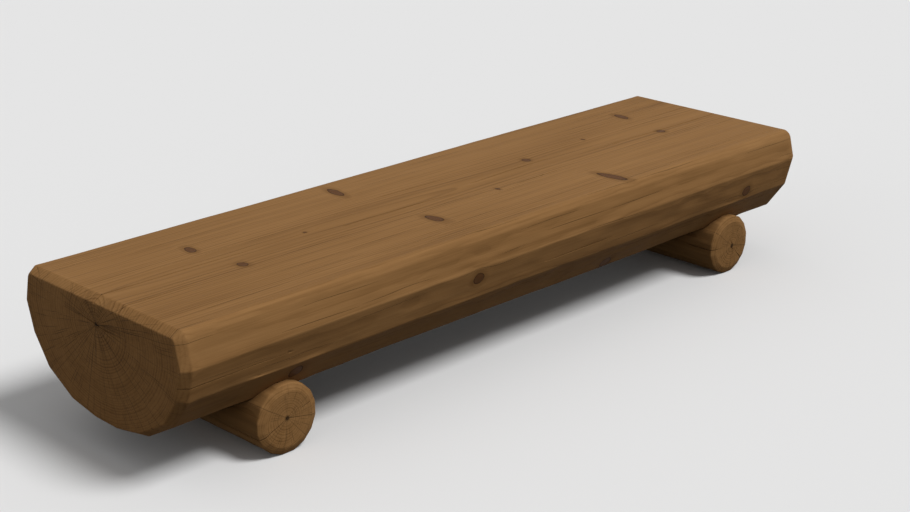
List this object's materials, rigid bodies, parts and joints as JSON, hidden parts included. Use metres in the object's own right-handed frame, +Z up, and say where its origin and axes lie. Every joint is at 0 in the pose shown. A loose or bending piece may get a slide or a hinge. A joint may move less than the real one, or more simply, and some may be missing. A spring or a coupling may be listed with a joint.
{
  "type": "half log bench",
  "caption": "Rustic bench: a hewn half log, flat on top and faceted below, resting in saddles cut in two short cross logs and held by lag screws from beneath.",
  "frame": {"origin": "on the ground under the middle of the bench", "axes": "+X along the seat, +Y across it, +Z up from the ground to the sitting face"},
  "size_m": [1.8, 0.503, 0.3085],
  "materials": {
    "seat_wood": "peeled and hewn, dry oiled brown",
    "cross_log_wood": "peeled and drawn round, dry oiled brown",
    "galvanised_steel": "dull zinc"
  },
  "bodies": {
    "root": {"seat_log": "seat_wood", "left_cross_log": "cross_log_wood", "right_cross_log": "cross_log_wood", "lag_screw_left_front": "galvanised_steel", "lag_screw_left_back": "galvanised_steel", "lag_screw_right_front": "galvanised_steel", "lag_screw_right_back": "galvanised_steel", "washer_left_front": "galvanised_steel", "washer_left_back": "galvanised_steel", "washer_right_front": "galvanised_steel", "washer_right_back": "galvanised_steel"}
  },
  "joints": []
}
